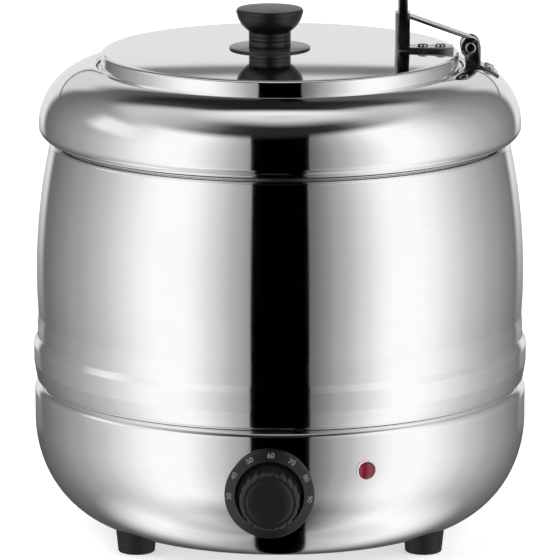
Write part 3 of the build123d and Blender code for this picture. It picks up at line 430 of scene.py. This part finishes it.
def barrel_points():
    """Foot roll, waist band, flare, bulging side and the roll at the mouth."""
    low, high = mm_box("barrel_shell")
    foot_roll, top_roll, mouth_r, flange_r = 3.0, 3.0, 140.0, 152.0
    foot_r = high.x - 2.2
    widest_r, widest_z, side_radius = high.x - 2.3, 185.0, 428.0
    flare_r, flare_z = high.x - 2.6, 145.0
    neck_z = high.z - top_roll
    wall = rounded(
        [
            (flange_r, low.z),
            (foot_r, low.z, foot_roll),
            (high.x, 124.5, 9.0),
            (high.x, flare_z - 8.0, 4.0),
            (flare_r, flare_z - 2.4, 5.0),
            (flare_r + 0.12, flare_z + 12.0),
        ],
        8,
    )
    foot_angle = degrees(asin((flare_z + 12.0 - widest_z) / side_radius))
    top_angle = degrees(asin((neck_z - widest_z) / side_radius))
    side = arc((widest_r - side_radius, widest_z), side_radius, foot_angle, top_angle, 60)
    neck_r = side[-1][0]
    roll = arc((neck_r - top_roll, neck_z), top_roll, top_angle, 90, 8)
    return wall[:-1] + side + roll + line(roll[-1], (mouth_r, high.z))


def vessel_points(node):
    """Pan or pot: flat floor, round corner, straight side and a rim turned outwards."""
    low, high = mm_box(node)
    corner, roll = 12.0, 3.0
    side_r = {"water_pan": 132.0, "inner_pot": 121.0}[node]
    rim_z = high.z - SHEET
    floor = [(0.0, low.z)] + line((0, low.z), (side_r - corner, low.z), 10.0)
    turn = arc((side_r - corner, low.z + corner), corner, 270, 360, 12)[1:]
    side = line((side_r, low.z + corner), (side_r, rim_z - roll), 12.0)
    rim = arc((side_r + roll, rim_z - roll), roll, 180, 90, 8)[1:]
    return floor + turn + side + rim + line((side_r + roll, rim_z), (high.x, rim_z))


def collar_points():
    """Lip in the pot's mouth, tucked-under edge, tall dome, neck and the ledge that carries the lid."""
    low, high = mm_box("collar")
    waist_z, lip_r, seat_z = 289.0, 119.5, 280.4
    under, dome = (16.0, 10.0), (41.0, 42.0)
    neck_r, ledge_z, mouth_r, mouth_z = 126.0, 325.5, 117.0, 320.0
    under_start = degrees(asin((seat_z - waist_z) / under[1]))
    tuck = arc((high.x - under[0], waist_z), under, under_start, 0, 14)
    points = rounded([(lip_r, low.z), (lip_r, seat_z, 1.4), (tuck[0][0], seat_z)]) + tuck[1:]
    points += arc((high.x - dome[0], waist_z), dome, 0, 86.5, 64)[1:]
    crest = points[-1]
    neck = rounded(
        [
            crest,
            (neck_r, crest[1] + 0.1, 1.4),
            (neck_r, ledge_z, 1.2),
            (mouth_r, ledge_z, 1.5),
            (mouth_r, mouth_z),
        ]
    )
    return points + neck[1:]


def lid_section():
    low, high = mm_box("lid")
    rim_r, rim_z, corner = 123.0, high.z - 2.0, 2.5
    bead_r = 2.2
    bead = (rim_r - 0.2, low.z + bead_r)
    crown = ((rim_r - corner) ** 2 + 2.0 ** 2) / (2 * 2.0)
    edge = degrees(asin((rim_r - corner) / crown))
    top = arc((0.0, high.z - crown), crown, 90, 90 - edge, 40)
    points = top + arc((rim_r - corner, rim_z - corner), corner, 90 - edge, 0, 10)
    points += line((rim_r, rim_z - corner), (rim_r, bead[1] + bead_r + 0.6))
    points += arc(bead, bead_r, 78, -190, 26)
    inner_r, inner_z = rim_r - SHEET, rim_z - SHEET
    points += line((inner_r, bead[1] + bead_r), (inner_r, inner_z - corner + SHEET))
    points += arc((rim_r - corner, rim_z - corner), corner - SHEET, 0, 90, 6)
    under = arc((0.0, high.z - crown), crown - SHEET, 90 - edge, 90, 24)
    points = points + under[1:]
    points[0] = (0.0, points[0][1])
    points[-1] = (0.0, points[-1][1])
    return points


def shells():
    piece_for("lower_bowl", turned_mesh("lower_bowl_shape", sheet(bowl_points())))
    piece_for("barrel_shell", turned_mesh("barrel_shell_shape", sheet(barrel_points())))
    piece_for("collar", turned_mesh("collar_shape", sheet(collar_points())))
    piece_for("lid", turned_mesh("lid_shape", lid_section()), POLISHED_LID)
    for node in ("water_pan", "inner_pot"):
        piece_for(node, turned_mesh(f"{node}_shape", sheet(vessel_points(node))))


# ---------------------------------------------------------------- lid knob

def lid_knob():
    """Wide cap with a dished underside on a straight stem, over a thin dark disc."""
    low, high = mm_box("lid_knob")
    centre = (low + high) / 2
    place = Matrix.Translation(Vector((centre.x, centre.y, 0)) * MM)
    wide = (high.x - low.x) / 2
    stem_r, stem_top, cap_z = wide - 8.6, low.z + 11.0, high.z - 4.6
    section = [(0.0, low.z), (stem_r - 0.4, low.z)]
    section += arc((stem_r - 0.4, low.z + 0.4), 0.4, 270, 360, 3)[1:]
    for groove in (low.z + 4.4, low.z + 7.2):
        section += [(stem_r, groove - 0.4), (stem_r - 0.25, groove), (stem_r, groove + 0.4)]
    section += line((stem_r, low.z + 7.6), (stem_r, stem_top - 0.6), 0.8)
    under = through((stem_r, stem_top), (stem_r + 4.9, stem_top + 4.4), (wide - 0.4, cap_z), 16)
    section += under[1:]
    section += through(under[-1], (wide, cap_z + 1.9), (wide - 1.0, high.z - 1.0), 8)[1:]
    crown = ((wide - 1.0) ** 2 + 1.0) / 2
    edge = degrees(asin((wide - 1.6) / crown))
    section += arc((0.0, high.z - crown), crown, 90 - edge, 90, 14)
    section[-1] = (0.0, high.z)
    piece_for("lid_knob", turned_mesh("lid_knob_shape", section, place, 96))

    # A thin dark disc round the knob's foot.
    low, high = mm_box("knob_flange")
    reach = high.x - centre.x
    top = high.z
    ring = [(0.0, top - 0.05), (reach - 1.0, top)]
    ring += arc((reach - 0.9, top - 0.9), 0.9, 90, 0, 5)[1:]
    ring += [(reach, low.z + 0.3), (reach - 0.3, low.z + 0.02), (0.0, low.z + 0.25)]
    piece_for("knob_flange", turned_mesh("knob_flange_shape", ring, place, 96), KNOB_FOOT_DISC)


# ---------------------------------------------------------------- thermostat knob

KNOB_FLUTES = 20
KNOB_NUMBERS = ("30", "40", "50", "60", "70", "80", "90")
KNOB_NUMBER_ANGLES = (182.0, -6.0)


def thermostat_knob():
    """Skirt with a sloping number ring, and a grip with finger flutes and a dished face."""
    low, high = mm_box("thermostat_knob")
    centre = (low + high) / 2
    skirt_r = (high.x - low.x) / 2
    depth = high.y - low.y
    place = Matrix.Translation(Vector((centre.x, high.y, centre.z)) * MM) @ Matrix.Rotation(pi / 2, 4, "X")
    grip_r, ring_r, ring_h = 20.5, 23.0, 5.0
    section = [(0.0, 0.4), (17.0, 0.4), (17.0, 0.0), (skirt_r - 0.7, 0.0)]
    section += arc((skirt_r - 0.7, 0.7), 0.7, 270, 360, 4)[1:]
    section += arc((skirt_r - 0.8, 1.5), 0.8, 0, 62, 4)[1:]
    section += line(section[-1], (ring_r + 0.5, ring_h - 0.1), 1.5)
    section += arc((ring_r + 0.2, ring_h - 0.5), 0.5, 62, 180, 6)
    section += [(ring_r - 0.5, 3.2), (grip_r + 0.9, 2.8)]
    section += line((grip_r + 0.1, 3.4), (grip_r - 0.8, depth - 3.0), 1.0)
    section += arc((grip_r - 3.6, depth - 2.8), 2.8, 0, 90, 9)
    section += [(grip_r - 5.0, depth - 0.05), (grip_r - 5.6, depth - 0.4), (grip_r - 6.4, depth - 0.7)]
    section += [(8.0, depth - 0.8), (0.0, depth - 0.85)]

    def fluted(radius, height, angle):
        if height < 6.0 or radius < grip_r - 3.0:
            return radius
        fade = min(1.0, (height - 6.0) / 1.5) * min(1.0, max(0.0, (radius - grip_r + 3.0) / 1.6))
        wave = max(0.0, cos(KNOB_FLUTES * angle)) ** 1.5
        return radius - 0.85 * wave * fade

    mesh = turned_mesh("thermostat_knob_shape", section, place, 400, fluted)
    piece_for("thermostat_knob", mesh, KNOB_PLASTIC)
    slope = Vector((ring_r + 0.5 - skirt_r, ring_h - 0.1 - 1.9)).normalized()
    for index, number in enumerate(KNOB_NUMBERS):
        share = index / (len(KNOB_NUMBERS) - 1)
        angle = radians(KNOB_NUMBER_ANGLES[0] + (KNOB_NUMBER_ANGLES[1] - KNOB_NUMBER_ANGLES[0]) * share)
        out = Vector((cos(angle), sin(angle), 0))
        along = Vector((sin(angle), -cos(angle), 0))
        up = Vector((out.x * -slope.x, out.y * -slope.x, -slope.y))
        normal = along.cross(up)
        middle_r = 26.9
        middle_h = 1.9 + (skirt_r - middle_r) / (skirt_r - ring_r - 0.5) * (ring_h - 2.0)
        spot = Vector((out.x * middle_r, out.y * middle_r, middle_h)) * MM + normal * 0.00002
        turn = Matrix((along, up, normal)).transposed().to_4x4()
        numeral(f"dial_number_{number}", number, place @ Matrix.Translation(spot) @ turn)


def numeral(name, text, matrix):
    """A printed number that rides on the knob."""
    curve = bpy.data.curves.new(name, "FONT")
    curve.body = text
    curve.size = 5.0 * MM
    curve.align_x = "CENTER"
    curve.align_y = "CENTER"
    curve.extrude = 0.00006
    curve.offset = 0.00008
    source = bpy.data.objects.new(name + "_source", curve)
    bpy.context.scene.collection.objects.link(source)
    bpy.context.view_layer.update()
    mesh = bpy.data.meshes.new_from_object(source)
    bpy.data.objects.remove(source)
    mesh.transform(matrix)
    mesh.name = name
    finish_mesh(name, mesh, PRINT, "knob", (), 30)


# ---------------------------------------------------------------- pilot lamp

LAMP_X, LAMP_WALL_R = 57.5, 170.0
LAMP_ANGLE = asin(LAMP_X / LAMP_WALL_R)


def lamp():
    """Lens and bezel square to the bowl's round wall."""
    stem_r, wall_r = 3.85, mm_box("lower_bowl")[1].x
    bezel_low, bezel_high = mm_box("lamp_bezel")
    height = (bezel_low.z + bezel_high.z) / 2
    out = Vector((sin(LAMP_ANGLE), -cos(LAMP_ANGLE), 0))
    side = Vector((cos(LAMP_ANGLE), sin(LAMP_ANGLE), 0))
    turn = Matrix((side, out.cross(side), out)).transposed().to_4x4()
    place = Matrix.Translation(Vector((out.x * wall_r, out.y * wall_r, height)) * MM) @ turn
    dome_r = 8.0
    lens_r = 5.75
    rise = 1.8 + 2.6 - dome_r
    edge = degrees(asin(lens_r / dome_r))
    lens = [(0.0, -6.0), (stem_r, -6.0), (stem_r, 0.4), (lens_r, 0.5)]
    lens += line((lens_r, 0.5), (lens_r, dome_r * cos(radians(edge)) + rise), 0.5)
    lens += arc((0.0, rise), dome_r, 90 - edge, 90, 14)[1:]
    lens[-1] = (0.0, lens[-1][1])
    piece_for("lamp_lens", turned_mesh("lamp_lens_shape", lens, place, 72))
    ring_r = 6.9
    ring = [(4.0, -18.0), (4.9, -18.0), (4.9, 0.03), (ring_r - 0.3, 0.03), (ring_r, 0.3)]
    ring += arc((ring_r - 0.7, 0.9), 0.7, 0, 90, 6)
    ring += arc((lens_r + 0.55, 1.1), 0.5, 90, 180, 5)
    ring += [(lens_r + 0.05, 0.35), (4.0, 0.3)]
    piece_for("lamp_bezel", turned_mesh("lamp_bezel_shape", ring, place, 96))


# ---------------------------------------------------------------- pieces kept in their CAD shape

SOFTENED = {
    "hinge_arm": 0.25,
    "hinge_bracket": 0.25,
    "hinge_pin": 0.15,
    "arm_rivets": 0.15,
    "bracket_rivets": 0.15,
    "foot_front_left": 0.5,
    "foot_front_right": 0.5,
    "foot_rear": 0.5,
    "gland_body": 0.25,
    "gland_cap": 0.25,
    "base_plate": 0.2,
}


def other_pieces():
    for node, width in SOFTENED.items():
        piece_for(node, softened_mesh(f"{node}_shape", node, width))
    for node, kept in frame["nodes"].items():
        for slot in kept.material_slots:
            slot.material = SLOT_MATERIALS[SLOT_OF[node]]


# ---------------------------------------------------------------- studio

CAMERA_DISTANCE = 3.714
CAMERA_PITCH = radians(12.0)
CAMERA_AIM_Z = 0.1786
CAMERA_LENS = 344.8


def camera():
    """A long lens that looks down on the kettle's front."""
    data = bpy.data.cameras.new("camera")
    data.lens = CAMERA_LENS
    data.sensor_width = 36.0
    data.clip_end = 200.0
    eye = bpy.data.objects.new("camera", data)
    back = Vector((0, -cos(CAMERA_PITCH), sin(CAMERA_PITCH)))
    eye.location = Vector((0, 0, CAMERA_AIM_Z)) + back * CAMERA_DISTANCE
    eye.rotation_euler = (pi / 2 - CAMERA_PITCH, 0, 0)
    bpy.context.scene.collection.objects.link(eye)
    bpy.context.scene.camera = eye


# Brightness of the studio against the angle from its front, as (degrees, value): the walls, the floor
# under them, the dark gap above them and the soft light overhead.
WALLS = (
    (0, 0.06), (14, 0.20), (20, 0.33), (30, 0.54), (40, 0.80), (50, 1.00), (58, 1.05), (66, 0.99),
    (78, 0.83), (92, 0.60), (108, 0.41), (124, 0.29), (140, 0.19), (156, 0.13), (180, 0.08),
)
FLOOR = (
    (0, 0.02), (14, 0.08), (22, 0.17), (35, 0.37), (48, 0.61), (60, 0.87), (74, 1.01), (90, 1.04),
    (120, 0.98), (140, 0.88), (155, 0.66), (180, 0.25),
)
GAP = (
    (0, 0.02), (30, 0.03), (42, 0.08), (57, 0.23), (72, 0.40), (90, 0.50), (126, 0.54), (140, 0.12),
    (152, 0.035), (180, 0.012),
)
OVERHEAD = ((0, 0.64), (60, 0.68), (90, 0.77), (125, 0.84), (180, 0.84))
WALL_TURN = 4.5
FLAG_WIDTHS = (0.232, 0.192)
FLAG_TAPER = 0.6
STUDIO_STRENGTH = 1.04
FLOOR_RADIUS = 60.0
SURROUND_RADIUS = 70.0
KETTLE_MIDDLE_Z = 0.15
DEGREES = 180 / pi


def ring_of_light(tree, turned_away, stops):
    """A value that changes with the angle from the studio's front."""
    ramp = add(tree, "ShaderNodeValToRGB", Fac=maths(tree, "DIVIDE", turned_away, 180.0))
    ramp.color_ramp.interpolation = "CARDINAL"
    elements = ramp.color_ramp.elements
    for index, (angle, value) in enumerate(stops):
        stop = elements[index] if index < 2 else elements.new(angle / 180)
        stop.position = angle / 180
        stop.color = (value, value, value, 1)
    return ramp.outputs[0]


def band(tree, value, middle, full, none):
    """1 within full of the middle, falling smoothly to 0 at none."""
    distance = maths(tree, "ABSOLUTE", maths(tree, "SUBTRACT", value, middle))
    return scaled_range(tree, distance, full, none, 1.0, 0.0, True)


def product(tree, first, second):
    return maths(tree, "MULTIPLY", first, second)


def angle_between(tree, across, along):
    """The angle of a direction's two parts, in degrees."""
    return product(tree, maths(tree, "ARCTAN2", across, along), DEGREES)


def floor_light(tree, around, height, turned_away):
    """The floor under the walls: darker straight below and towards the front left."""
    light = product(
        tree, ring_of_light(tree, turned_away, FLOOR), scaled_range(tree, height, -82.0, -61.0, 0.36, 1.0)
    )
    from_left = maths(tree, "ABSOLUTE", maths(tree, "SUBTRACT", around, -55.0))
    return product(tree, light, scaled_range(tree, from_left, 22.0, 60.0, 0.72, 1.0, True))


def flag_shade(tree, parts):
    """0 on the black flag, a strip down the front and on under the kettle, and 1 beside it."""
    down = product(tree, parts[2], -1)
    towards_front = product(tree, parts[1], -1)
    downwards = angle_between(tree, down, towards_front)
    width = scaled_range(tree, downwards, 37.0, 50.0, *FLAG_WIDTHS, True)
    taper = maths(tree, "COSINE", product(tree, downwards, FLAG_TAPER / DEGREES))
    past = maths(tree, "SUBTRACT", maths(tree, "ABSOLUTE", parts[0]), product(tree, width, taper))
    return scaled_range(tree, past, -0.004, 0.004, 0.0, 1.0)


def back_wall(tree, height):
    """The bright wall behind, with a thin dark line where its two halves meet."""
    wall = mixed_value(tree, scaled_range(tree, height, 11.6, 12.0, 0.0, 1.0), 0.76, 0.16)
    return mixed_value(tree, scaled_range(tree, height, 12.8, 13.2, 0.0, 1.0), wall, 0.66)


def back_wall_share(tree, around, height):
    sides = scaled_range(tree, maths(tree, "ABSOLUTE", around), 147.0, 156.0, 0.0, 1.0, True)
    foot = scaled_range(tree, height, -16.0, -5.0, 0.0, 1.0, True)
    top = scaled_range(tree, height, 24.0, 36.0, 1.0, 0.0, True)
    return product(tree, sides, product(tree, foot, top))


def overhead_light(tree, parts, turned_away):
    """Soft light overhead that ends just behind the kettle."""
    ended = scaled_range(tree, parts[1], 0.10, 0.30, 1.0, 0.012, True)
    return product(tree, ended, ring_of_light(tree, turned_away, OVERHEAD))


def studio_world():
    """Grey walls that are brightest at the sides, a black flag in front and a soft top light."""
    world = bpy.data.worlds.new("studio")
    bpy.context.scene.world = world
    world.use_nodes = True
    tree = world.node_tree
    tree.nodes.clear()
    direction = add(tree, "ShaderNodeTexCoord").outputs["Generated"]
    parts = add(tree, "ShaderNodeSeparateXYZ", Vector=direction).outputs
    around = angle_between(tree, parts[0], product(tree, parts[1], -1))
    height = product(tree, maths(tree, "ARCSINE", parts[2]), DEGREES)
    turned_away = maths(tree, "ABSOLUTE", maths(tree, "SUBTRACT", around, WALL_TURN))

    walls = ring_of_light(tree, turned_away, WALLS)
    floor = floor_light(tree, around, height, turned_away)
    lit = mixed_value(tree, scaled_range(tree, height, -58.0, -36.0, 1.0, 0.0, True), walls, floor)
    # Brighter patch high on the left wall
    patch = product(tree, band(tree, around, -92.0, 8.0, 26.0), band(tree, height, 26.0, 4.0, 12.0))
    lit = mixed_value(tree, patch, lit, 0.86)
    lit = product(tree, lit, flag_shade(tree, parts))
    # Dark gap between the walls and the top light; the walls reach higher on the right
    wall_top = scaled_range(tree, around, -30.0, 60.0, 36.0, 43.0, True)
    above = scaled_range(tree, maths(tree, "SUBTRACT", height, wall_top), 0.0, 13.0, 0.0, 1.0, True)
    lit = mixed_value(tree, above, lit, ring_of_light(tree, turned_away, GAP))
    lit = mixed_value(tree, back_wall_share(tree, around, height), lit, back_wall(tree, height))
    overhead = scaled_range(tree, height, 61.0, 81.0, 0.0, 1.0, True)
    lit = mixed_value(tree, overhead, lit, overhead_light(tree, parts, turned_away))
    background = add(tree, "ShaderNodeBackground", Color=lit, Strength=STUDIO_STRENGTH)
    add(tree, "ShaderNodeOutputWorld", Surface=background.outputs[0])


def stage_material(name, colour, glow):
    """A matt material that also gives out a little light."""
    material, tree, shader = new_material(name, Roughness=0.9)
    shader.inputs["Emission Strength"].default_value = glow
    shader.inputs["Emission Color"].default_value = (1, 1, 1, 1)
    tint = noise(tree, place_of(tree), 3.0, 2.0)
    dim = [c * 0.99 for c in colour] + [1]
    tree.links.new(mixed(tree, tint, dim, [*colour, 1]), shader.inputs["Base Color"])
    return material


def stage():
    """A wide pale floor and a white surround that only the camera sees."""
    bm = bmesh.new()
    bmesh.ops.create_circle(bm, cap_ends=True, segments=96, radius=FLOOR_RADIUS)
    mesh = bpy.data.meshes.new("floor")
    bm.to_mesh(mesh)
    bm.free()
    mesh.materials.append(stage_material("floor_pale", (0.86, 0.86, 0.86), 0.50))
    floor = bpy.data.objects.new("floor", mesh)
    bpy.context.scene.collection.objects.link(floor)
    floor.visible_glossy = False
    bm = bmesh.new()
    bmesh.ops.create_uvsphere(bm, u_segments=48, v_segments=24, radius=SURROUND_RADIUS)
    mesh = bpy.data.meshes.new("surround")
    bm.to_mesh(mesh)
    bm.free()
    mesh.materials.append(stage_material("surround_pale", (0.0, 0.0, 0.0), 1.0))
    surround = bpy.data.objects.new("surround", mesh)
    bpy.context.scene.collection.objects.link(surround)
    surround.visible_glossy = False
    surround.visible_diffuse = False
    surround.visible_transmission = False
    surround.visible_shadow = False


def soft_light(name, place, size, power):
    """A round lamp aimed at the kettle that its steel does not show."""
    data = bpy.data.lights.new(name, "AREA")
    data.shape = "DISK"
    data.size = size
    data.energy = power
    lamp_object = bpy.data.objects.new(name, data)
    lamp_object.location = place
    aim = Vector((0, 0, KETTLE_MIDDLE_Z)) - Vector(place)
    lamp_object.rotation_euler = aim.to_track_quat("-Z", "Y").to_euler()
    lamp_object.visible_glossy = False
    bpy.context.scene.collection.objects.link(lamp_object)


def lights():
    soft_light("key_light", (-1.6, -1.8, 2.4), 1.6, 45.0)
    soft_light("fill_light", (1.9, -1.5, 2.0), 1.6, 28.0)
    soft_light("back_light", (0.2, 2.2, 2.2), 1.6, 25.0)


camera()
studio_world()
stage()
lights()
shells()
lid_knob()
thermostat_knob()
lamp()
other_pieces()
bpy.context.scene.view_settings.view_transform = "Standard"

bpy.context.view_layer.update()
